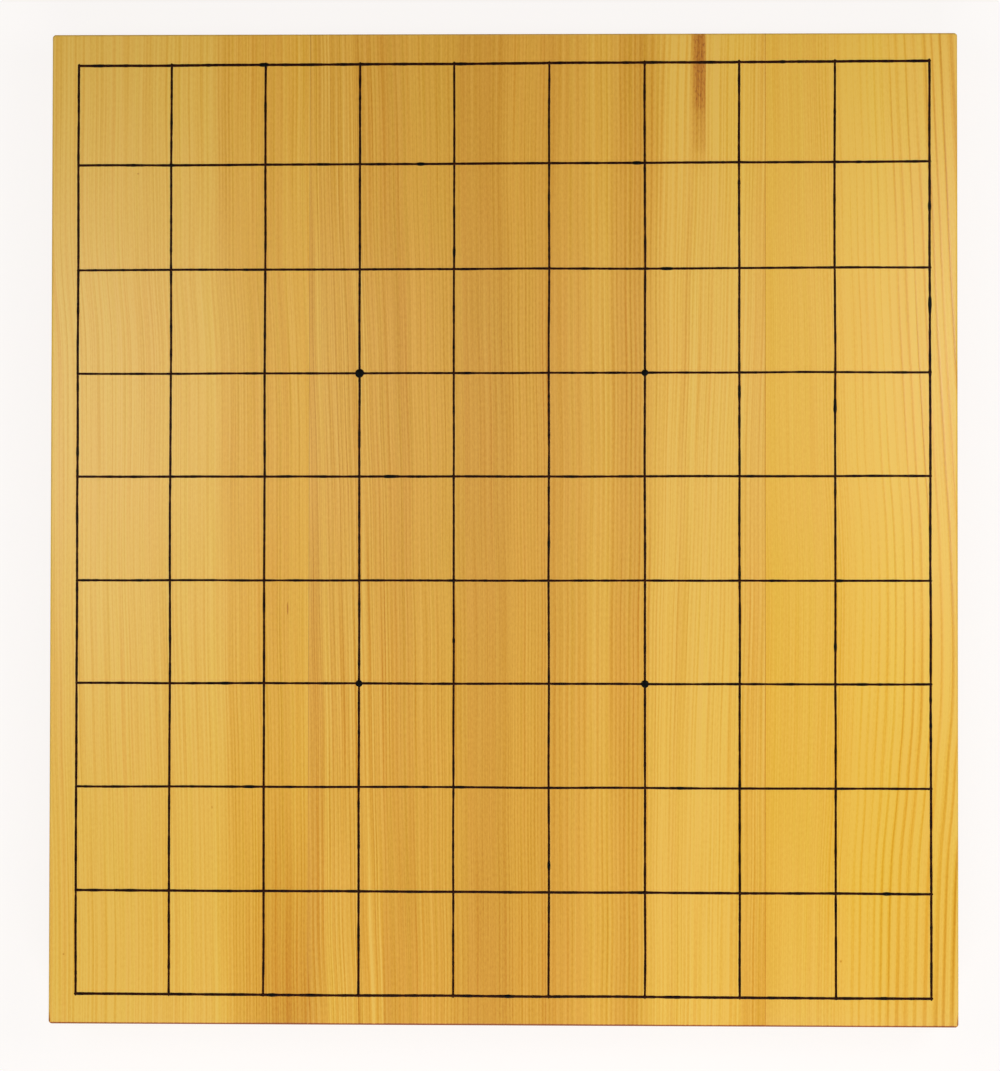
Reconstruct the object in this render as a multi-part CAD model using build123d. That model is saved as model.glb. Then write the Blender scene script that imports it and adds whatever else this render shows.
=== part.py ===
from build123d import *
import math
import os

# A tabletop shogi board: a solid slab of three planks glued edge to edge, with its playing
# grid laid on the top face by hand, in raised black lacquer.
# Origin at the middle of the underside, +Z up, +Y towards the far edge, and +X to the right
# of the player who sits at the near edge. Millimetres.

# The slab
board_width = 333.0  # 1 shaku 1 sun
board_length = 364.0  # 1 shaku 2 sun
board_thickness = 30.0  # 1 sun
corner_radius = 1.2  # upright corners
arris_radius = 0.8  # top edges, rubbed round
foot_bevel = 1.0  # underside edges, planed off so that fingers get under

# The planks, quarter-sawn, butted and glued edge to edge
first_joint = 95.3  # from the left edge to the middle of the first glue line
second_joint = 262.6
glue_thickness = 0.15

# The grid: nine squares each way, between ten lines each way
squares = 9
cell_width = 34.8
cell_length = 38.0
line_width = 0.8
file_height = 0.13
rank_height = 0.25  # laid last, over the files, so the fuller bead

# The lines lie by hand, a little off their marks: to the right on the files, and towards the
# far edge on the ranks
file_slips = (0.0, -0.5, -0.6, -0.5, -0.6, -0.5, -0.1, -0.3, -0.1, -0.2)
rank_slips = (0.0, 1.1, 0.3, 0.0, 0.0, -0.2, 0.0, 0.0, -0.2, -0.2)
file_lean = (0.0, 0.4)  # of the first and last file: its near end further right
rank_lean = (1.4, -0.6)  # of the first and last rank: its right end further from the player
far_overshoot = 0.9  # from the crossing's middle to the line's tip
near_overshoot = 1.4
left_overshoot = 0.5
right_overshoot = 0.7

# The star points, at the corners of the middle nine squares
star_lines = (4, 7)
star_diameter = 2.5
first_star_diameter = 3.3  # far left, where more lacquer fell
star_height = 0.45

bead_facets = 2  # from a bead's foot to its ridge
star_facets = 3


def shared(ends, number):
    """The value for a line from those of the first and the last, evenly graded between."""
    first, last = ends
    return first + (last - first) * (number - 1) / squares


def file_x(number, y):
    """How far right of the middle a file runs, at y along the board."""
    mark = (number - 1 - squares / 2) * cell_width
    lean = shared(file_lean, number)
    return mark + file_slips[number - 1] - lean * y / board_length


def rank_y(number, x):
    """How far past the middle a rank runs, at x across the board."""
    mark = (squares / 2 - number + 1) * cell_length
    lean = shared(rank_lean, number)
    return mark + rank_slips[number - 1] + lean * x / board_width


def crossing(file, rank):
    """The point on the top face where a file meets a rank."""
    y = rank_y(rank, file_x(file, 0))
    return Vector(file_x(file, y), y, board_thickness)


def crown(width, height, facets):
    """A bead's outline from its foot to its ridge: a quarter of an ellipse, in facets."""
    turns = [math.pi / 2 * k / facets for k in range(facets + 1)]
    return [(width / 2 * math.cos(a), height * math.sin(a)) for a in turns]


def dome(width, height, facets, sweep=360):
    """A crowned drop, or with half a turn the round end of a bead that starts at its middle."""
    profile = Polyline((0, 0), *crown(width, height, facets), close=True)
    return revolve(make_face(Plane.YZ * profile), Axis.Z, sweep)


def bead(start, end, width, height):
    """A crowned line of lacquer with round ends, from tip to tip on the top face."""
    run = end - start
    straight = run.length - width
    right_side = crown(width, height, bead_facets)
    left_side = [(-y, z) for y, z in reversed(right_side[:-1])]
    section = make_face(Plane.YZ * Polyline(*right_side, *left_side, close=True))
    body = extrude(section, straight, dir=(1, 0, 0))
    near_end = dome(width, height, bead_facets, sweep=180)
    far_end = Pos(straight, 0, 0) * Rot(0, 0, 180) * near_end
    laid = Pos(width / 2, 0, 0) * (body + near_end + far_end)
    return Plane(origin=start, x_dir=run, z_dir=(0, 0, 1)) * laid


def make_blank():
    """The slab as it was planed, before it is told apart into planks."""
    standing = (Align.CENTER, Align.CENTER, Align.MIN)
    blank = Box(board_width, board_length, board_thickness, align=standing)
    blank = fillet(blank.edges().filter_by(Axis.Z), corner_radius)
    blank = fillet(blank.edges().group_by(Axis.Z)[-1], arris_radius)
    return chamfer(blank.edges().group_by(Axis.Z)[0], foot_bevel)


def strip(blank, left, right):
    """What lies between two upright cuts, given from the board's left edge."""
    middle = (left + right) / 2 - board_width / 2
    cutter = Box(right - left, 2 * board_length, 4 * board_thickness)
    return blank & (Pos(middle, 0, 0) * cutter)


def make_slab():
    """The three planks and the two glue lines that hold them."""
    blank = make_blank()
    half_glue = glue_thickness / 2
    outside = corner_radius
    cuts = (
        ("plank_left", -outside, first_joint - half_glue),
        ("glue_line_left", first_joint - half_glue, first_joint + half_glue),
        ("plank_middle", first_joint + half_glue, second_joint - half_glue),
        ("glue_line_right", second_joint - half_glue, second_joint + half_glue),
        ("plank_right", second_joint + half_glue, board_width + outside),
    )
    return {name: strip(blank, left, right) for name, left, right in cuts}


def make_files():
    """The ten lines along the board, laid first, straight on the wood."""
    files = {}
    for number in range(1, squares + 2):
        far = crossing(number, 1) + Vector(0, far_overshoot)
        near = crossing(number, squares + 1) - Vector(0, near_overshoot)
        files[f"file_line_{number}"] = bead(near, far, line_width, file_height)
    return files


def make_ranks(files):
    """The ten lines across, laid over the dry files, so that each bridges all ten."""
    ranks = {}
    for number in range(1, squares + 2):
        left = crossing(1, number) - Vector(left_overshoot, 0)
        right = crossing(squares + 1, number) + Vector(right_overshoot, 0)
        ranks[f"rank_line_{number}"] = bead(left, right, line_width, rank_height) - files
    return ranks


def make_stars(lines):
    """The four star points, dropped last, each seated over the crossing it marks."""
    stars = {}
    for rank, row in zip(star_lines, ("far", "near")):
        for file, side in zip(star_lines, ("left", "right")):
            first = (row, side) == ("far", "left")
            width = first_star_diameter if first else star_diameter
            drop = Pos(crossing(file, rank)) * dome(width, star_height, star_facets)
            crossed = [lines[f"file_line_{file}"], lines[f"rank_line_{rank}"]]
            stars[f"star_point_{row}_{side}"] = drop - crossed
    return stars


def main():
    pieces = make_slab()
    files = make_files()
    ranks = make_ranks(list(files.values()))
    pieces |= files | ranks | make_stars(files | ranks)
    os.makedirs("parts", exist_ok=True)
    for name, piece in pieces.items():
        export_step(piece, f"parts/{name}.step")
    print(f"{len(pieces)} pieces")


main()
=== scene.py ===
import math

import bmesh
import bpy
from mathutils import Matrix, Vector


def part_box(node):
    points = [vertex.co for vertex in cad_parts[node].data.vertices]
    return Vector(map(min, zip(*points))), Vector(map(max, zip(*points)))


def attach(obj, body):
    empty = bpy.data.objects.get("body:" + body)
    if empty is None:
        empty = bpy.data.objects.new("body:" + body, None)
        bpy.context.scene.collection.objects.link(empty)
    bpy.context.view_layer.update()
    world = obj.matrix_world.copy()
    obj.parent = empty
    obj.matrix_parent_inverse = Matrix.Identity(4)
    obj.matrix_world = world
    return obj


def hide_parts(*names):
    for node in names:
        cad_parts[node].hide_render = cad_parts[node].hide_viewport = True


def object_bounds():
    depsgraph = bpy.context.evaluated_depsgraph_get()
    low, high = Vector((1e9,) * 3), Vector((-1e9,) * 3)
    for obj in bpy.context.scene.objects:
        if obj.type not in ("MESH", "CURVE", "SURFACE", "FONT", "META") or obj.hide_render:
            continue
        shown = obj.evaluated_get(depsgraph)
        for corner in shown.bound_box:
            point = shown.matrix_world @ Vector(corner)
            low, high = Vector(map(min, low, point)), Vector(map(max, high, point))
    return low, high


# A tabletop shogi board: three quarter-sawn planks glued into a slab, with the playing grid
# laid on it by hand in black lacquer. It lies on a pale studio floor, seen from above.
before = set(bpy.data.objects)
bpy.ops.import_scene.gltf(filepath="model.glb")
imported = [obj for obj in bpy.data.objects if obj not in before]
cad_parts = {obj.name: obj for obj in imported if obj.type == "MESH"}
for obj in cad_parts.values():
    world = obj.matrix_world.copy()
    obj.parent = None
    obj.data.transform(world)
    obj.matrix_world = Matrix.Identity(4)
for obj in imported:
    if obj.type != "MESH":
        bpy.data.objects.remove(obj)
cad_low, cad_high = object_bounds()

# Left plank
# A quarter-sawn softwood plank, planed and rubbed with wax. Its fine, even rings run the
# length of the board, pale as far as a tan band that lies along the glue joint.
MM = 0.001


def srgb(red, green, blue):
    """A colour as the eye sees it, 0 to 255 a channel, as the shader's linear one."""
    def linear(level):
        share = level / 255
        return share / 12.92 if share <= 0.04045 else ((share + 0.055) / 1.055) ** 2.4
    return (linear(red), linear(green), linear(blue), 1)


def add(tree, kind, inputs=None, **settings):
    """A node, with its settings, and a value or a link for each input that is named."""
    node = tree.nodes.new(kind)
    for name, value in settings.items():
        setattr(node, name, value)
    for name, value in (inputs or {}).items():
        socket = node.inputs[name]
        if isinstance(value, bpy.types.NodeSocket):
            tree.links.new(value, socket)
        else:
            socket.default_value = value
    return node


def calc(tree, operation, *values):
    """The result of a Math node."""
    return add(tree, "ShaderNodeMath", dict(enumerate(values)), operation=operation).outputs[0]


def scaled(tree, vector, factors):
    """A vector times a factor for each of its axes."""
    inputs = {0: vector, 1: factors}
    return add(tree, "ShaderNodeVectorMath", inputs, operation="MULTIPLY").outputs[0]


def eased(tree, value, low, high, start=0.0, end=1.0):
    """From start to end, smoothly, as the value goes from low to high."""
    inputs = {"Value": value, "From Min": low, "From Max": high, "To Min": start, "To Max": end}
    return add(tree, "ShaderNodeMapRange", inputs, interpolation_type="SMOOTHSTEP").outputs[0]


def mixed(tree, share, first, second):
    """A value part of the way from the first to the second."""
    return add(tree, "ShaderNodeMix", {0: share, 2: first, 3: second}).outputs[0]


def centred(tree, value, width=1.0):
    """A value from 0 to 1, as one that is spread over a width about 0."""
    return calc(tree, "MULTIPLY_ADD", value, width, -width / 2)


def millimetres(tree):
    """Where a point is on its object, in millimetres."""
    place = add(tree, "ShaderNodeTexCoord").outputs["Object"]
    return scaled(tree, place, (1 / MM,) * 3)


def noise(tree, vector, detail=2.0, roughness=0.5):
    """A 3-D noise about one unit across, from 0 to 1."""
    inputs = {"Vector": vector, "Scale": 1.0, "Detail": detail, "Roughness": roughness}
    return add(tree, "ShaderNodeTexNoise", inputs).outputs["Fac"]


def graph(tree, value, points, handles="AUTO"):
    """A line drawn through points (value, result), flat beyond its ends."""
    lows = [min(p[axis] for p in points) for axis in (0, 1)]
    spans = [max(p[axis] for p in points) - lows[axis] for axis in (0, 1)]
    share = calc(tree, "DIVIDE", calc(tree, "SUBTRACT", value, lows[0]), spans[0])
    drawn = add(tree, "ShaderNodeFloatCurve", {"Value": share})
    line = drawn.mapping.curves[0].points
    for _ in points[2:]:
        line.new(0.5, 0.5)
    for dot, point in zip(line, points):
        dot.location = [(point[axis] - lows[axis]) / spans[axis] for axis in (0, 1)]
        dot.handle_type = handles
    drawn.mapping.extend = "HORIZONTAL"
    drawn.mapping.update()
    return calc(tree, "MULTIPLY_ADD", drawn.outputs[0], spans[1], lows[1])


def new_group(name, inputs, outputs):
    """An empty shader group with number or vector inputs and number outputs."""
    group = bpy.data.node_groups.new(name, "ShaderNodeTree")
    for label, value in inputs.items():
        kind = "NodeSocketVector" if value is None else "NodeSocketFloat"
        socket = group.interface.new_socket(label, in_out="INPUT", socket_type=kind)
        if value is not None:
            socket.default_value = value
    for label in outputs:
        group.interface.new_socket(label, in_out="OUTPUT", socket_type="NodeSocketFloat")
    return group, group.nodes.new("NodeGroupInput").outputs


def close_group(group, results):
    """The finished group, with a link for each of its outputs."""
    add(group, "NodeGroupOutput", results)
    return group


def place_group(tree, group, inputs):
    """The outputs of a group, with a value or a link for each of its inputs."""
    return add(tree, "ShaderNodeGroup", inputs, node_tree=group).outputs


# How far a ring may slip from its even place, in rings, and how far it fades and darkens
RING_SLIP = 1.2
RING_FADES = (0.65, 1.3)


def make_rings():
    """Growth rings along a running count of them: pale early wood that darkens into late
    wood. By chance some are wider or stronger than others, and each one comes and goes on
    its way down the plank."""
    inputs = {
        "Count": 0.0,
        "Down": 0.0,
        "Seed": 0.0,
        "Lateness": 1.0,
        "Sharpness": 1.0,
        "Evenness": 0.5,
    }
    group, given = new_group("growth rings", inputs, ["Late wood", "Ring tint"])
    place = add(group, "ShaderNodeCombineXYZ", {0: given["Count"], 1: given["Seed"]}).outputs[0]
    slip = centred(group, noise(group, scaled(group, place, (0.45, 1, 1))), RING_SLIP)
    count = calc(group, "ADD", given["Count"], slip)
    part = calc(group, "POWER", calc(group, "FRACT", count), given["Lateness"])
    wave = calc(group, "COSINE", calc(group, "MULTIPLY", part, 2 * math.pi))
    wave = calc(group, "POWER", calc(group, "MULTIPLY_ADD", wave, -0.5, 0.5), given["Sharpness"])
    number = calc(group, "ADD", calc(group, "FLOOR", count), given["Seed"])
    draw = add(group, "ShaderNodeTexWhiteNoise", {"W": number}, noise_dimensions="1D").outputs[0]
    place = add(group, "ShaderNodeCombineXYZ", {0: number, 1: given["Down"]}).outputs[0]
    fading = noise(group, scaled(group, place, (7.3, 4.0, 1)), 1.0)
    fading = eased(group, fading, 0.3, 0.7, *RING_FADES)
    strength = calc(group, "MULTIPLY", mixed(group, draw, given["Evenness"], 1.0), fading)
    late = calc(group, "MULTIPLY", wave, strength)
    return close_group(group, {"Late wood": late, "Ring tint": draw})


def make_fibre():
    """Streaks that follow the grain, the finest half a millimetre wide and a hundred long,
    the faint ripple that crosses it, and broad clouds. A noise's factors say how many of its
    features there are to a millimetre across, along and below."""
    outputs = ["Fine streak", "Broad streak", "Ripple", "Cloud"]
    group, given = new_group("wood fibre", {"Run": None}, outputs)
    run = given["Run"]
    fine = noise(group, scaled(group, run, (2.1, 0.009, 2.1)), 1.0)
    broad = noise(group, scaled(group, run, (0.5, 0.006, 0.5)))
    ripple = noise(group, scaled(group, run, (1.7, 0.65, 1.7)), roughness=0.6)
    cloud = noise(group, scaled(group, run, (0.03, 0.02, 0.03)))
    return close_group(group, dict(zip(outputs, (fine, broad, ripple, cloud))))


def make_edges():
    """How near a point is to an edge of the slab, and how far its surface is end grain."""
    inputs = {
        "Place": None,
        "Half width": 1.0,
        "Half length": 1.0,
        "Thickness": 1.0,
        "Full within": 0.5,
        "Reach": 1.0,
    }
    group, given = new_group("edge masks", inputs, ["Arris", "End grain"])
    axes = add(group, "ShaderNodeSeparateXYZ", {0: given["Place"]}).outputs
    side = calc(group, "SUBTRACT", given["Half width"], calc(group, "ABSOLUTE", axes[0]))
    end = calc(group, "SUBTRACT", given["Half length"], calc(group, "ABSOLUTE", axes[1]))
    face = calc(group, "MINIMUM", axes[2], calc(group, "SUBTRACT", given["Thickness"], axes[2]))
    nearest = calc(group, "MINIMUM", calc(group, "ADD", side, face), calc(group, "ADD", end, face))
    nearest = calc(group, "MINIMUM", nearest, calc(group, "ADD", side, end))
    arris = eased(group, nearest, given["Full within"], given["Reach"], 1.0, 0.0)
    facing = add(group, "ShaderNodeTexCoord").outputs["Normal"]
    along = add(group, "ShaderNodeSeparateXYZ", {0: facing}).outputs[1]
    end_grain = eased(group, calc(group, "ABSOLUTE", along), 0.45, 0.8)
    return close_group(group, {"Arris": arris, "End grain": end_grain})


rings_group = make_rings()
fibre_group = make_fibre()
edges_group = make_edges()

# The colours that the wood passes through, from its palest to soaked with resin, by its tone
WOOD_TONES = (
    (0.0, srgb(230, 187, 81)),
    (0.25, srgb(226, 178, 72)),
    (0.5, srgb(221, 168, 64)),
    (0.75, srgb(214, 159, 57)),
    (1.0, srgb(206, 148, 48)),
    (1.4, srgb(188, 120, 33)),
    (2.0, srgb(134, 70, 20)),
)
DARKEST_TONE = WOOD_TONES[-1][0]
WOOD_ROUGHNESS = 0.32
# The height that the blade leaves between soft and hard grain
GRAIN_RELIEF = 0.015 * MM
# How far the grain wanders to either side, in all, and how ragged it makes a stain's edge
GRAIN_WANDER = 3.0
STAIN_RAGGEDNESS = 1.2
WIDTH = (cad_high.x - cad_low.x) / MM
LENGTH = (cad_high.y - cad_low.y) / MM
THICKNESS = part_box("plank_left")[1].z / MM
# The rounded edges' mask, which carries painted light and shade and a rougher finish, is full within
# the first distance, and gone past the second
ARRIS_FULL = 0.35
ARRIS_REACH = 0.95
# Painted light and shade on the rounded edges, on the way down: paler, to lift the shade the lamps
# leave on them, with a painted dark shade line at the near end
EDGE_PAINTED_LIGHT_AND_SHADE = [(0, -0.45), (0.985, -0.3), (0.997, 2.0), (1, 2.8)]
# The parts of the way down over which what belongs to the far or the near end fades in
FAR_PART = (0.05, 0.45)
NEAR_PART = (0.72, 1.0)


class Plank:
    """One plank's material as it is built up. A point's place across is in millimetres from
    the plank's left edge, and its place down is its share of the way from the far end to the
    near one. A list of pairs is a line drawn through them: a place, and the value there."""

    def __init__(self, node):
        self.node = node
        self.material = bpy.data.materials.new(node + "_wood")
        self.material.use_nodes = True
        self.tree = self.material.node_tree
        self.tree.nodes.clear()
        self.place = millimetres(self.tree)
        axes = add(self.tree, "ShaderNodeSeparateXYZ", {0: self.place}).outputs
        self.y = axes[1]
        self.across = calc(self.tree, "SUBTRACT", axes[0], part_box(node)[0].x / MM)
        self.down = calc(self.tree, "MULTIPLY_ADD", self.y, -1 / LENGTH, 0.5)
        self.depth = calc(self.tree, "SUBTRACT", THICKNESS, axes[2])

    def follow(self, drift, sway, lean):
        """Follows the grain: how far it drifts across (drift) by how far down the plank
        (sway), and how far its rings lean for each millimetre below the face."""
        tree = self.tree
        moved = calc(tree, "MULTIPLY", graph(tree, self.across, drift), graph(tree, self.down, sway))
        straight = calc(tree, "SUBTRACT", self.across, moved)
        wander = noise(tree, scaled(tree, self.place, (0.02, 0.011, 0.02)), 1.0)
        straight = calc(tree, "ADD", straight, centred(tree, wander, GRAIN_WANDER))
        self.ring = calc(tree, "MULTIPLY_ADD", self.depth, lean, straight)
        axes = {0: self.ring, 1: self.y, 2: self.depth}
        self.run = add(tree, "ShaderNodeCombineXYZ", axes).outputs[0]

    def grow(self, counts, strengths, fading, seed, lateness, sharpness, evenness):
        """Rings by their count across the plank, and how strongly they show, by how far
        across (strengths) and down (fading) they are."""
        tree = self.tree
        inputs = {
            "Count": graph(tree, self.ring, counts, "VECTOR"),
            "Down": self.down,
            "Seed": seed,
            "Lateness": lateness,
            "Sharpness": graph(tree, self.down, sharpness),
            "Evenness": evenness,
        }
        rings = place_group(tree, rings_group, inputs)
        shown = graph(tree, self.ring, strengths, "VECTOR")
        shown = calc(tree, "MULTIPLY", shown, graph(tree, self.down, fading))
        self.late = calc(tree, "MULTIPLY", rings["Late wood"], shown)
        self.tint = centred(tree, rings["Ring tint"])

    def shade(self, bands, near_bands, streaks, far_bands=None):
        """The wood's tone: its broad bands, with what they gain towards either end, its rings, its
        streaks, by how strongly they show across it, its end grain, and painted light and shade on its
        rounded edges."""
        tree = self.tree
        fibre = place_group(tree, fibre_group, {"Run": self.run})
        self.fine = fibre["Fine streak"]
        self.cloud = centred(tree, fibre["Cloud"])
        streaky = graph(tree, self.ring, streaks)
        self.fine_tone = calc(tree, "MULTIPLY", centred(tree, self.fine), streaky)
        broad_tone = calc(tree, "MULTIPLY", centred(tree, fibre["Broad streak"]), streaky)
        edges = place_group(tree, edges_group, {
            "Place": self.place,
            "Half width": WIDTH / 2,
            "Half length": LENGTH / 2,
            "Thickness": THICKNESS,
            "Full within": ARRIS_FULL,
            "Reach": ARRIS_REACH,
        })
        self.arris = edges["Arris"]
        self.end_grain = edges["End grain"]
        tone = graph(tree, self.ring, bands, "VECTOR")
        near = eased(tree, self.down, *NEAR_PART)
        tone = calc(tree, "MULTIPLY_ADD", graph(tree, self.across, near_bands), near, tone)
        if far_bands:
            far = eased(tree, self.down, *FAR_PART, 1.0, 0.0)
            tone = calc(tree, "MULTIPLY_ADD", graph(tree, self.across, far_bands), far, tone)
        for part, strength in (
            (self.late, 1.0),
            (self.tint, 0.05),
            (self.fine_tone, 0.9),
            (broad_tone, 0.21),
            (centred(tree, fibre["Ripple"]), 0.7),
            (self.cloud, 0.25),
            (self.end_grain, 0.35),
            # Painted light along the rounded edges, and a painted dark shade line along the near one
            (self.arris, graph(tree, self.down, EDGE_PAINTED_LIGHT_AND_SHADE, "VECTOR")),
        ):
            tone = calc(tree, "MULTIPLY_ADD", part, strength, tone)
        self.tone = tone

    def stain(self, x, y, across, along, depth, edge):
        """Darkens the tone in a patch round a point of the face, in millimetres from the
        middle of the board: a speck, a bruise or a streak, with a soft or sharp edge."""
        tree = self.tree
        inputs = {0: self.place, 1: (x, y, THICKNESS)}
        place = add(tree, "ShaderNodeVectorMath", inputs, operation="SUBTRACT").outputs[0]
        place = scaled(tree, place, (1 / across, 1 / along, 1 / along))
        reach = add(tree, "ShaderNodeVectorMath", {0: place}, operation="LENGTH").outputs["Value"]
        ragged = calc(tree, "ADD", centred(tree, self.fine, STAIN_RAGGEDNESS), reach)
        mark = eased(tree, ragged, 1 - edge, 1.0, depth, 0.0)
        self.tone = calc(tree, "ADD", self.tone, mark)

    def finish(self, rich_down, rich_across):
        """Colour, gloss and relief, from the tone and the grain, on the plank's own node. How
        rich the colour is changes down the plank, with something more or less across it."""
        tree = self.tree
        share = calc(tree, "DIVIDE", self.tone, DARKEST_TONE)
        colours = add(tree, "ShaderNodeValToRGB", {0: share})
        stops = colours.color_ramp.elements
        for tone, _ in WOOD_TONES[2:]:
            stops.new(tone / DARKEST_TONE)
        for stop, (tone, colour) in zip(stops, WOOD_TONES):
            stop.position = tone / DARKEST_TONE
            stop.color = colour
        hue = calc(tree, "MULTIPLY_ADD", self.tint, 0.005, 0.5)
        hue = calc(tree, "MULTIPLY_ADD", self.cloud, 0.012, hue)
        dark_grain = calc(tree, "MINIMUM", self.late, 0.3)
        dark_grain = calc(tree, "MULTIPLY_ADD", self.fine_tone, 0.8, dark_grain)
        richness = graph(tree, self.down, rich_down)
        richness = calc(tree, "ADD", richness, graph(tree, self.across, rich_across))
        tinted = add(tree, "ShaderNodeHueSaturation", {
            "Hue": hue,
            "Saturation": calc(tree, "MULTIPLY_ADD", dark_grain, 0.05, richness),
            "Value": calc(tree, "MULTIPLY_ADD", dark_grain, 0.035, 1.0),
            "Color": colours.outputs[0],
        })
        rough = WOOD_ROUGHNESS
        for part, strength in (
            (self.late, -0.08),
            (self.fine, 0.08),
            (self.end_grain, 0.16),
            (self.arris, 0.6),
        ):
            rough = calc(tree, "MULTIPLY_ADD", part, strength, rough)
        relief = calc(tree, "MULTIPLY_ADD", self.late, 2.0, self.fine)
        relief = {"Strength": 0.5, "Distance": GRAIN_RELIEF, "Height": relief}
        wood = add(tree, "ShaderNodeBsdfPrincipled", {
            "Base Color": tinted.outputs[0],
            "Roughness": rough,
            "Normal": add(tree, "ShaderNodeBump", relief).outputs[0],
        })
        add(tree, "ShaderNodeOutputMaterial", {0: wood.outputs[0]})
        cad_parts[self.node].material_slots[0].material = self.material


left = Plank("plank_left")
left.follow(
    drift=[(0, 4.5), (40, 6.0), (95, 4.5)],
    sway=[(0, -0.45), (0.2, -0.4), (0.34, 0.02), (0.6, 0.15), (0.82, 0.42), (1, 0.5)],
    lean=0.16,
)
left.grow(
    counts=[(-12, -8), (0, 0), (12, 7), (28, 17), (43, 30), (47, 33), (62, 42), (78, 55),
            (97, 69), (110, 78)],
    strengths=[(0, 0.25), (20, 0.25), (27, 0.22), (40, 0.28), (60, 0.26), (66, 0.34),
               (84, 0.34), (95, 0.36)],
    fading=[(0, 0.74), (0.35, 1.0), (0.8, 0.98), (1, 0.84)],
    seed=3.0,
    lateness=1.1,
    sharpness=[(0, 1.1), (1, 1.3)],
    evenness=0.78,
)
left.shade(
    bands=[(0, 0.12), (12, 0.07), (34, 0.11), (40, 0.2), (46, 0.1), (61, 0.1), (66, 0.4),
           (73, 0.34), (79, 0.46), (86, 0.48), (89, 0.32), (95, 0.28)],
    near_bands=[(0, 0), (64, 0), (74, 0.2), (86, 0.38), (95, 0.62)],
    streaks=[(0, 1.5), (60, 1.4), (80, 1.2), (95, 1.4)],
)
left.stain(x=-134.6, y=130.5, across=0.5, along=0.4, depth=0.9, edge=0.5)
left.stain(x=-79.0, y=-29.5, across=0.35, along=2.4, depth=0.8, edge=0.5)
left.stain(x=-106.6, y=-102.5, across=0.35, along=0.8, depth=0.7, edge=0.5)
left.stain(x=-161.0, y=-156.5, across=0.5, along=0.5, depth=0.8, edge=0.5)
left.finish(
    rich_down=[(0, 1.0), (0.75, 1.0), (1, 0.98)],
    rich_across=[(0, 0.004), (60, 0.004), (68, 0.014), (95, 0.012)],
)

# Middle plank
# The widest plank, browner and coarser in the ring, from nearer the outside of the tree. Its
# rings close in from both sides towards the near end, and a streak of resin starts at the
# far one.
middle = Plank("plank_middle")
middle.follow(
    drift=[(0, 6), (20, 10), (35, 8), (55, 4), (72, 2.6), (95, 1), (115, 0), (127, -3),
           (141, -9), (155, -7), (167, -5)],
    sway=[(0, -0.42), (0.25, -0.2), (0.5, 0.05), (0.75, 0.3), (1, 0.48)],
    lean=0.1,
)
middle.grow(
    counts=[(-10, -7), (0, 0), (17, 12), (21, 14), (37, 25), (52, 36), (57, 39), (72, 46),
            (87, 58), (91, 60), (107, 67), (122, 76), (126, 78), (141, 89), (157, 100),
            (168, 107), (180, 114)],
    strengths=[(0, 0.34), (17, 0.38), (20, 0.36), (26, 0.36), (34, 0.28), (40, 0.3),
               (52, 0.28), (58, 0.14), (71, 0.16), (76, 0.36), (86, 0.38), (92, 0.26),
               (103, 0.28), (110, 0.46), (121, 0.46), (137, 0.42), (146, 0.36), (167, 0.34)],
    fading=[(0, 0.72), (0.4, 1.0), (0.75, 0.98), (1, 0.85)],
    seed=40.0,
    lateness=1.25,
    sharpness=[(0, 1.0), (1, 1.2)],
    evenness=0.82,
)
middle.shade(
    bands=[(0, 0.62), (2.6, 0.6), (3.6, 0.34), (5.6, 0.36), (7, 0.52), (8.5, 0.4), (10, 0.5),
           (12, 0.42), (15, 0.52), (18.5, 0.36), (21, 0.52), (29, 0.6), (34, 0.73), (37, 0.64),
           (39, 0.5), (52, 0.59), (58, 0.81), (71, 0.84), (76, 0.54), (84, 0.6), (89, 0.73),
           (94, 0.6), (102, 0.48), (104, 0.32), (110, 0.34), (113, 0.54), (121, 0.62),
           (126, 0.24), (131, -0.04), (134, 0.0), (136.5, 0.22), (139, 0.06), (146, 0.0),
           (157, 0.04), (162, 0.25), (168, 0.3)],
    near_bands=[(0, 0.24), (4, 0.08), (9, -0.15), (17.5, -0.15), (19.4, 0.22), (20.8, -0.14),
                (23.5, -0.1), (26.8, -0.24), (28.2, 0.2), (32, 0.14), (40, 0.0), (60, 0.1),
                (110, 0.0), (157, -0.02), (160, 0.2), (165, 0.15)],
    streaks=[(0, 2.0), (18, 2.2), (24, 1.4), (40, 1.2), (60, 1.0), (125, 1.0), (137, 1.6),
             (167, 1.4)],
    far_bands=[(0, 0), (15, 0), (18, 0.13), (22, 0.03), (116, 0), (121, 0.15), (128, 0.18),
               (133, 0), (152, 0), (157, -0.12), (167, -0.08)],
)
# The streak fades in from its left side, stops sharply at its right one, and thins downwards
RESIN_LEFT = (139.4, 142.0)
RESIN_RIGHT = (145.1, 145.8)
RESIN_DOWN = [(0, 1.22), (0.066, 1.12), (0.085, 0.76), (0.112, 0.56), (0.13, 0.2), (0.15, 0)]
tree = middle.tree
resin = calc(tree, "MULTIPLY", eased(tree, middle.across, *RESIN_LEFT),
             eased(tree, middle.across, *RESIN_RIGHT, 1.0, 0.0))
soaked = graph(tree, middle.down, RESIN_DOWN)
flecks = noise(tree, scaled(tree, middle.run, (1.6, 0.7, 1.6)), 1.0)
flecks = eased(tree, flecks, 0.52, 0.72, 0.0, 0.3)
soaked = calc(tree, "MULTIPLY_ADD", flecks, soaked, soaked)
middle.tone = calc(tree, "MULTIPLY_ADD", resin, soaked, middle.tone)
middle.finish(
    rich_down=[(0, 1.0), (0.12, 1.0), (0.35, 0.984), (0.7, 0.996), (1, 0.998)],
    rich_across=[(0, 0.0), (148, 0.0), (156, 0.01), (167, 0.01)],
)

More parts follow.
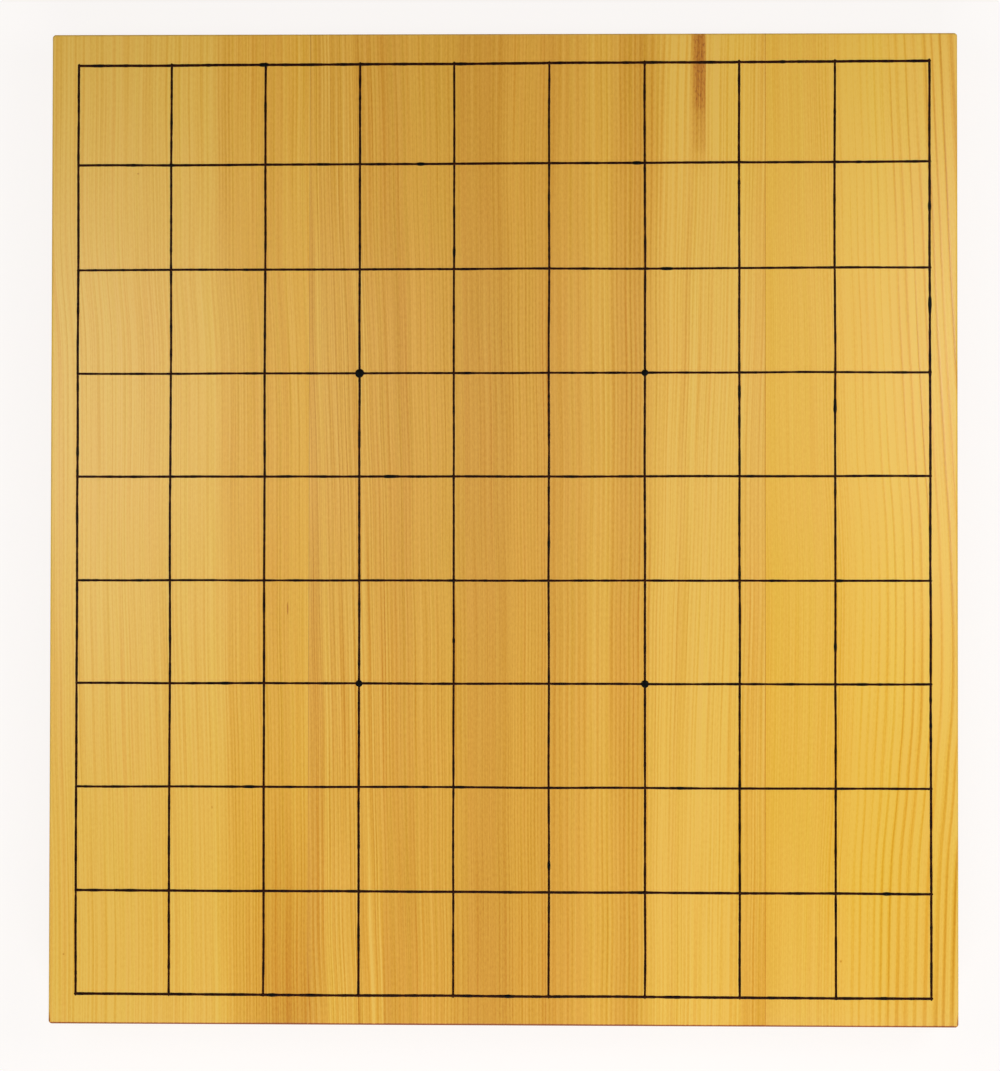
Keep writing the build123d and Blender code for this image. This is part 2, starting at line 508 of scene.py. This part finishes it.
# Right plank
# The narrowest plank, plain beside the joint. Its rings widen towards the outer edge of the
# board, where they bow round what was once a knot and run out over the side.
right = Plank("plank_right")
right.follow(
    drift=[(0, 2), (20, 6), (35, 8), (52, 12), (71, 12)],
    sway=[(0, -0.6), (0.2, -0.3), (0.42, 0.08), (0.6, 0.32), (0.75, 0.12), (0.86, -0.12), (1, -0.24)],
    lean=-0.3,
)
right.grow(
    counts=[(-12, -14), (0, 0), (22, 26), (31, 33), (45, 38), (60, 42.5), (90, 51)],
    strengths=[(0, 0.1), (20, 0.2), (24, 0.4), (30, 0.26), (36, 0.42), (44, 0.45), (49, 0.7),
               (60, 0.8), (75, 0.9)],
    fading=[(0, 1.0), (0.3, 1.08), (0.6, 1.12), (0.8, 1.1), (1, 1.05)],
    seed=90.0,
    lateness=2.4,
    sharpness=[(0, 1.5), (0.5, 2.0), (0.75, 1.3), (1, 0.8)],
    evenness=0.6,
)
right.shade(
    bands=[(0, 0.25), (8, 0.2), (18, 0.2), (23, 0.22), (28, 0.12), (33, 0.0), (44, -0.06),
           (54, -0.03), (60, 0.02), (71, 0.03)],
    near_bands=[(0, 0.1), (3, 0.06), (8, -0.06), (30, 0.0), (45, 0.06), (71, 0.08)],
    streaks=[(0, 0.7), (30, 0.9), (71, 0.8)],
)
right.stain(x=122.6, y=-57.5, across=0.5, along=0.6, depth=0.7, edge=0.5)
right.stain(x=123.6, y=-158.0, across=0.5, along=0.5, depth=0.8, edge=0.5)
right.finish(
    rich_down=[(0, 1.03), (0.4, 1.045), (0.7, 1.04), (1, 0.99)],
    rich_across=[(0, 0.0), (20, -0.004), (28, 0.004), (60, -0.004), (71, -0.02)],
)

# Glue lines
# Set glue in the two butted joints, planed flush with the planks. The left one is a close
# joint, hard to tell from the grain; the right one shows as a dark hairline.
GLUE_SHADES = {
    "glue_line_left": (srgb(170, 119, 63), srgb(204, 150, 69)),
    "glue_line_right": (srgb(146, 56, 2), srgb(186, 104, 22)),
}
# The stretch over which the glue grows paler towards the near end, from the board's middle
PALE_PART = (-160, 0)
GLUE_ROUGHNESS = (0.4, 0.55)
# Planed glue, dull beside the waxed wood
GLUE_GLOSS = 0.1
for name, (thick, thin) in GLUE_SHADES.items():
    glue = bpy.data.materials.new(name)
    glue.use_nodes = True
    tree = glue.node_tree
    shader = tree.nodes["Principled BSDF"]
    place = millimetres(tree)
    y = add(tree, "ShaderNodeSeparateXYZ", {0: place}).outputs[1]
    thinness = noise(tree, scaled(tree, place, (0.5, 0.08, 0.5)), 3.0)
    thinness = calc(tree, "ADD", thinness, eased(tree, y, *PALE_PART, 0.2, 0.0))
    shade = add(tree, "ShaderNodeValToRGB", {0: thinness})
    shade.color_ramp.elements[0].position = 0.3
    shade.color_ramp.elements[0].color = thick
    shade.color_ramp.elements[1].position = 0.75
    shade.color_ramp.elements[1].color = thin
    tree.links.new(shade.outputs[0], shader.inputs["Base Color"])
    tree.links.new(eased(tree, thinness, 0.3, 0.7, *GLUE_ROUGHNESS), shader.inputs["Roughness"])
    shader.inputs["Specular IOR Level"].default_value = GLUE_GLOSS
    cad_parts[name].material_slots[0].material = glue

# Lacquer
# Every line is lacquer laid from a blade or a fine brush, which leaves a crowned bead: nearly
# black where it is full, and red-brown where it was drawn out thin.
LACQUER_FULL = srgb(6, 9, 10)
LACQUER_THIN = srgb(60, 24, 5)
LACQUER_ROUGHNESS = (0.38, 0.5)
LACQUER_RELIEF = 0.03 * MM
# The film is too thin and narrow to mirror much of the room
LACQUER_GLOSS = 0.05
lacquer = bpy.data.materials.new("black_lacquer")
lacquer.use_nodes = True
tree = lacquer.node_tree
shader = tree.nodes["Principled BSDF"]
fullness = add(tree, "ShaderNodeAttribute", attribute_name="fullness").outputs["Fac"]
place = millimetres(tree)
mottle = noise(tree, scaled(tree, place, (0.9, 0.9, 0.9)), 3.0, 0.6)
body = calc(tree, "MULTIPLY_ADD", mottle, 0.6, fullness)
shade = add(tree, "ShaderNodeValToRGB", {0: eased(tree, body, 1.0, 1.6)})
shade.color_ramp.elements[0].color = LACQUER_THIN
shade.color_ramp.elements[1].color = LACQUER_FULL
grit = noise(tree, scaled(tree, place, (6, 6, 6)))
relief = {"Strength": 0.3, "Distance": LACQUER_RELIEF, "Height": grit}
relief = add(tree, "ShaderNodeBump", relief)
tree.links.new(shade.outputs[0], shader.inputs["Base Color"])
tree.links.new(eased(tree, mottle, 0.3, 0.7, *LACQUER_ROUGHNESS), shader.inputs["Roughness"])
tree.links.new(relief.outputs[0], shader.inputs["Normal"])
shader.inputs["Specular IOR Level"].default_value = LACQUER_GLOSS

# File lines
# The ten lines along the board, drawn first on the bare wood. The blade drifts a little, the
# bead swells where it is loaded or lingers, and each end is round.
ACROSS, ALONG = 0, 1
# The widths of the lines in millimetres, from the left to the right
FILE_WIDTHS = (0.91, 0.88, 0.88, 0.88, 0.81, 0.84, 0.88, 0.9, 0.87, 0.93)
FILE_HEIGHT = 0.13 * MM
FILE_SHORT = 0.65 * MM
BEAD_STEP = 0.3 * MM
BEAD_SIDES = 7
# The points this near to a line's tip belong to its end
TIP = 0.5 * MM
# How far the blade wanders off its line, how much the bead swells, and how big its blots are
HAND = {"Wander": 0.22 * MM, "Unevenness": 0.5, "Blots": 0.38}
# One swell, short swell, blot and bend of the line come about every so far
SWELL_EVERY = 7 * MM
SHORT_SWELL_EVERY = 1.6 * MM
BLOT_EVERY = 13 * MM
BEND_EVERY = 60 * MM
# A rank begins to climb this far from a file's edge
CLIMB = 0.7 * MM


def end_points(name, axis):
    """The two ends of a lacquer line's node, each the middle of its bead on the wood."""
    points = [v.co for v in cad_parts[name].data.vertices]
    low, high = (edge(p[axis] for p in points) for edge in (min, max))
    ends = []
    for tip in (low, high):
        close = [p for p in points if abs(p[axis] - tip) < TIP]
        middle_point = sum(close, Vector()) / len(close)
        middle_point[axis] = tip
        middle_point.z = THICKNESS * MM
        ends.append(middle_point)
    return ends


def make_bead_tree():
    """Geometry nodes that draw a crowned bead of lacquer from a start to an end."""
    tree = bpy.data.node_groups.new("laid bead", "GeometryNodeTree")
    sockets = {
        "Start": "NodeSocketVector",
        "End": "NodeSocketVector",
        "Width": "NodeSocketFloat",
        "Height": "NodeSocketFloat",
        "Wander": "NodeSocketFloat",
        "Unevenness": "NodeSocketFloat",
        "Blots": "NodeSocketFloat",
        "Seed": "NodeSocketFloat",
        "Beneath": "NodeSocketObject",
        "Rise": "NodeSocketFloat",
        "Material": "NodeSocketMaterial",
    }
    for label, kind in sockets.items():
        tree.interface.new_socket(label, in_out="INPUT", socket_type=kind)
    tree.interface.new_socket("Bead", in_out="OUTPUT", socket_type="NodeSocketGeometry")
    given = tree.nodes.new("NodeGroupInput").outputs
    ends = {"Start": given["Start"], "End": given["End"]}
    line = add(tree, "GeometryNodeCurvePrimitiveLine", ends).outputs[0]
    inputs = {"Curve": line, "Length": BEAD_STEP}
    drawn = add(tree, "GeometryNodeResampleCurve", inputs, mode="LENGTH")
    along = add(tree, "GeometryNodeSplineParameter").outputs["Length"]
    total = add(tree, "GeometryNodeSplineLength").outputs["Length"]

    def unevenly(every, shift):
        """A noise along the line, about 0, with a swell about every so many metres."""
        place = calc(tree, "MULTIPLY_ADD", given["Seed"], 17.3, calc(tree, "DIVIDE", along, every))
        inputs = {"W": calc(tree, "ADD", place, shift), "Scale": 1.0, "Detail": 2.0}
        wave = add(tree, "ShaderNodeTexNoise", inputs, noise_dimensions="1D").outputs["Fac"]
        return centred(tree, wave)

    to_end = calc(tree, "MINIMUM", along, calc(tree, "SUBTRACT", total, along))
    half = calc(tree, "MULTIPLY", given["Width"], 0.5)
    short = calc(tree, "SUBTRACT", 1.0, calc(tree, "MINIMUM", calc(tree, "DIVIDE", to_end, half), 1.0))
    round_end = calc(tree, "SQRT", calc(tree, "SUBTRACT", 1.02, calc(tree, "MULTIPLY", short, short)))
    swell = calc(tree, "MULTIPLY", unevenly(SWELL_EVERY, 0.0), given["Unevenness"])
    short_swell = calc(tree, "MULTIPLY", given["Unevenness"], 0.5)
    swell = calc(tree, "MULTIPLY_ADD", unevenly(SHORT_SWELL_EVERY, 50.0), short_swell, swell)
    blot = eased(tree, unevenly(BLOT_EVERY, 90.0), 0.19, 0.3)
    full = calc(tree, "ADD", calc(tree, "MULTIPLY_ADD", blot, given["Blots"], swell), 1.0)
    size = calc(tree, "MULTIPLY", full, round_end)
    drift = calc(tree, "MULTIPLY", unevenly(BEND_EVERY, 130.0), given["Wander"])
    drift = calc(tree, "MULTIPLY", drift, 2.0)
    tangent = add(tree, "GeometryNodeInputTangent").outputs[0]
    inputs = {0: tangent, 1: (0, 0, 1)}
    sideways = add(tree, "ShaderNodeVectorMath", inputs, operation="CROSS_PRODUCT").outputs[0]
    inputs = {0: sideways, "Scale": drift}
    moved = add(tree, "ShaderNodeVectorMath", inputs, operation="SCALE").outputs[0]
    below = add(tree, "GeometryNodeObjectInfo", {"Object": given["Beneath"]}).outputs["Geometry"]
    near = add(tree, "GeometryNodeProximity", {"Target": below}, target_element="FACES").outputs
    over = eased(tree, near["Distance"], 0.0, CLIMB, 1.0, 0.0)
    over = calc(tree, "MULTIPLY", over, given["Rise"])
    over = calc(tree, "MULTIPLY", over, near["Is Valid"])
    lifted = add(tree, "ShaderNodeCombineXYZ", {2: over}).outputs[0]
    offset = add(tree, "ShaderNodeVectorMath", {0: moved, 1: lifted}, operation="ADD").outputs[0]
    inputs = {"Geometry": drawn.outputs[0], "Offset": offset}
    placed = add(tree, "GeometryNodeSetPosition", inputs)
    upright = add(tree, "GeometryNodeSetCurveNormal", {"Curve": placed.outputs[0]}, mode="Z_UP")
    inputs = {"Geometry": upright.outputs[0], "Name": "fullness", "Value": full}
    marked = add(tree, "GeometryNodeStoreNamedAttribute", inputs, data_type="FLOAT", domain="POINT")
    inputs = {
        "Resolution": BEAD_SIDES,
        "Radius": 1.0,
        "Start Angle": math.pi,
        "Sweep Angle": math.pi,
        "Connect Center": True,
    }
    arc = add(tree, "GeometryNodeCurveArc", inputs, mode="RADIUS").outputs[0]
    flattened = add(tree, "ShaderNodeCombineXYZ", {0: half, 1: given["Height"], 2: 1.0}).outputs[0]
    crown = add(tree, "GeometryNodeTransform", {"Geometry": arc, "Scale": flattened}).outputs[0]
    inputs = {"Curve": marked.outputs[0], "Profile Curve": crown, "Scale": size, "Fill Caps": True}
    bead = add(tree, "GeometryNodeCurveToMesh", inputs)
    whole = add(tree, "GeometryNodeRealizeInstances", {"Geometry": bead.outputs[0]})
    inputs = {"Geometry": whole.outputs[0], "Material": given["Material"]}
    coated = add(tree, "GeometryNodeSetMaterial", inputs)
    add(tree, "NodeGroupOutput", {0: coated.outputs[0]})
    return tree


bead_tree = make_bead_tree()
bead_inputs = {s.name: s.identifier for s in bead_tree.interface.items_tree if s.in_out == "INPUT"}


def lay_bead(node, axis, inputs, short=0.0):
    """A lacquer line in place of its plain node, between that node's own two ends, or a
    little short of the first."""
    maker = bpy.data.objects.new(node + "_laid", bpy.data.meshes.new(node))
    bpy.context.scene.collection.objects.link(maker)
    nodes = maker.modifiers.new("laid bead", "NODES")
    nodes.node_group = bead_tree
    start, end = end_points(node, axis)
    start[axis] += short
    inputs = HAND | inputs | {"Start": start, "End": end, "Material": lacquer}
    for name, value in inputs.items():
        nodes[bead_inputs[name]] = value
    depsgraph = bpy.context.evaluated_depsgraph_get()
    made = bpy.data.meshes.new_from_object(maker.evaluated_get(depsgraph))
    maker.modifiers.clear()
    maker.data = made
    for face in made.polygons:
        face.use_smooth = True
    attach(maker, "root")
    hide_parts(node)
    return maker


files = []
for n, width in enumerate(FILE_WIDTHS, 1):
    inputs = {"Width": width * MM, "Height": FILE_HEIGHT, "Seed": float(n)}
    files.append(lay_bead(f"file_line_{n}", ALONG, inputs, short=FILE_SHORT))

# Rank lines
# The ten lines across, drawn over the dry files with a fuller blade. Each one humps a little
# where it climbs over a file.
# The widths of the lines in millimetres, from the far one to the near one
RANK_WIDTHS = (1.02, 0.92, 0.86, 0.84, 0.9, 0.84, 0.88, 0.88, 0.97, 1.02)
RANK_HEIGHT = 0.16 * MM
RANK_RISE = 0.1 * MM
joined = bmesh.new()
for file in files:
    joined.from_mesh(file.data)
dry_mesh = bpy.data.meshes.new("dry_files")
joined.to_mesh(dry_mesh)
joined.free()
dry_files = bpy.data.objects.new("dry_files", dry_mesh)
bpy.context.scene.collection.objects.link(dry_files)
for n, width in enumerate(RANK_WIDTHS, 1):
    inputs = {"Width": width * MM, "Height": RANK_HEIGHT, "Seed": 20.0 + n}
    inputs |= {"Beneath": dry_files, "Rise": RANK_RISE}
    lay_bead(f"rank_line_{n}", ACROSS, inputs)
bpy.data.objects.remove(dry_files)
bpy.data.meshes.remove(dry_mesh)

# Star points
# A drop of lacquer let fall on each corner crossing of the middle nine squares. It settles as
# a low dome, not quite round.
STAR_SIDES = 48
STAR_STEPS = 10
STAR_FULLNESS = 1.4
# How much wider than its plain node each drop has spread
STAR_SPREADS = {
    "star_point_far_left": 1.03,
    "star_point_far_right": 1.06,
    "star_point_near_left": 1.08,
    "star_point_near_right": 1.22,
}


def let_fall(name, number, spread):
    """A low dome of lacquer in place of a star point's plain node."""
    low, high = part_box(name)
    foot = Vector(((low.x + high.x) / 2, (low.y + high.y) / 2, low.z))
    height = high.z - low.z
    radius = (high.x - low.x) / 2 * spread
    corners = [foot, foot + Vector((0, 0, height))]
    for step in range(STAR_STEPS):
        turn = math.pi / 2 * step / STAR_STEPS
        for side in range(STAR_SIDES):
            around = 2 * math.pi * side / STAR_SIDES
            oval = 0.03 * math.sin(2 * around + number)
            pear = 0.02 * math.sin(3 * around + 2 * number)
            out = radius * math.cos(turn) * (1 + oval + pear)
            rise = (math.cos(around) * out, math.sin(around) * out, height * math.sin(turn))
            corners.append(foot + Vector(rise))
    highest = (STAR_STEPS - 1) * STAR_SIDES
    faces = []
    for side in range(STAR_SIDES):
        here = 2 + side
        beside = 2 + (side + 1) % STAR_SIDES
        faces.append((0, beside, here))
        for level in range(0, highest, STAR_SIDES):
            above = level + STAR_SIDES
            faces.append((here + level, beside + level, beside + above, here + above))
        faces.append((here + highest, beside + highest, 1))
    mesh = bpy.data.meshes.new(name)
    mesh.from_pydata(corners, [], faces)
    mesh.materials.append(lacquer)
    full = mesh.attributes.new("fullness", "FLOAT", "POINT")
    full.data.foreach_set("value", [STAR_FULLNESS] * len(corners))
    for face in mesh.polygons:
        face.use_smooth = True
    star = bpy.data.objects.new(name + "_drop", mesh)
    bpy.context.scene.collection.objects.link(star)
    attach(star, "root")
    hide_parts(name)


for number, (name, spread) in enumerate(STAR_SPREADS.items()):
    let_fall(name, number, spread)

# Floor
# A plain pale studio floor. It stays light where the camera sees it, and takes a soft shadow.
FLOOR_SIZE = 40.0
STUDIO_WHITE = srgb(254, 251, 249)
# How much of what the camera sees of the floor is its own white, and not the light on it
GLOW = 0.9
bpy.ops.mesh.primitive_plane_add(size=FLOOR_SIZE)
floor = bpy.context.object
floor.name = "floor"
paint = bpy.data.materials.new("floor_paint")
paint.use_nodes = True
tree = paint.node_tree
tree.nodes.clear()
rays = add(tree, "ShaderNodeLightPath").outputs
seen = calc(tree, "MAXIMUM", rays["Is Camera Ray"], rays["Is Glossy Ray"])
seen = calc(tree, "MAXIMUM", seen, rays["Is Transmission Ray"])
lit = add(tree, "ShaderNodeBsdfPrincipled", {"Base Color": STUDIO_WHITE, "Roughness": 0.9})
glow = add(tree, "ShaderNodeEmission", {"Color": STUDIO_WHITE, "Strength": 1.0})
share = calc(tree, "MULTIPLY", seen, GLOW)
blend = add(tree, "ShaderNodeMixShader", {0: share, 1: lit.outputs[0], 2: glow.outputs[0]})
add(tree, "ShaderNodeOutputMaterial", {0: blend.outputs[0]})
floor.data.materials.append(paint)

# Light
# A pale room that is dim overhead, so that the lacquer stays black from above. Two soft boxes
# hang over the sides of the board, just out of the picture, and leave a faint haze on the
# wood nearest to them; a bigger one beyond the near side leaves the far edge dimmer.
HORIZON = (0.7, 0.7, 0.7, 1)
OVERHEAD = (0.03, 0.03, 0.03, 1)
# The power of each box in watts, the length of its side, and where it hangs
LAMPS = {
    "left_box": (1.15, 0.27, (-0.31, 0.07, 0.6)),
    "right_box": (2.0, 0.27, (0.38, 0.1, 0.6)),
    "near_box": (7.6, 0.5, (0.05, -0.84, 0.64)),
}
world = bpy.data.worlds.new("studio")
bpy.context.scene.world = world
world.use_nodes = True
tree = world.node_tree
direction = add(tree, "ShaderNodeTexCoord").outputs["Generated"]
height = add(tree, "ShaderNodeSeparateXYZ", {0: direction}).outputs[2]
sky = add(tree, "ShaderNodeValToRGB", {0: calc(tree, "ABSOLUTE", height)})
sky.color_ramp.elements[0].position = 0.08
sky.color_ramp.elements[0].color = HORIZON
sky.color_ramp.elements[1].position = 0.3
sky.color_ramp.elements[1].color = OVERHEAD
room = tree.nodes["Background"]
tree.links.new(sky.outputs[0], room.inputs["Color"])
backdrop = add(tree, "ShaderNodeBackground", {"Color": STUDIO_WHITE})
seen = add(tree, "ShaderNodeLightPath").outputs["Is Camera Ray"]
blend = add(tree, "ShaderNodeMixShader", {0: seen, 1: room.outputs[0], 2: backdrop.outputs[0]})
tree.links.new(blend.outputs[0], tree.nodes["World Output"].inputs["Surface"])
for name, (power, size, place) in LAMPS.items():
    lamp = bpy.data.lights.new(name, "AREA")
    lamp.energy = power
    lamp.size = size
    hung = bpy.data.objects.new(name, lamp)
    hung.location = place
    hung.rotation_euler = hung.location.to_track_quat("Z", "Y").to_euler()
    hung.visible_camera = False
    bpy.context.scene.collection.objects.link(hung)

# Camera
# Straight above the board with a short telephoto lens, leaning a degree, as the picture was
# taken.
eye = bpy.data.cameras.new("camera")
eye.lens = 85
camera = bpy.data.objects.new("camera", eye)
camera.location = (0.0155, -0.0173, 0.9573)
camera.rotation_euler = (math.radians(0.905), math.radians(1.019), math.radians(0.085))
bpy.context.scene.collection.objects.link(camera)
bpy.context.scene.camera = camera
bpy.context.scene.view_settings.view_transform = "Standard"
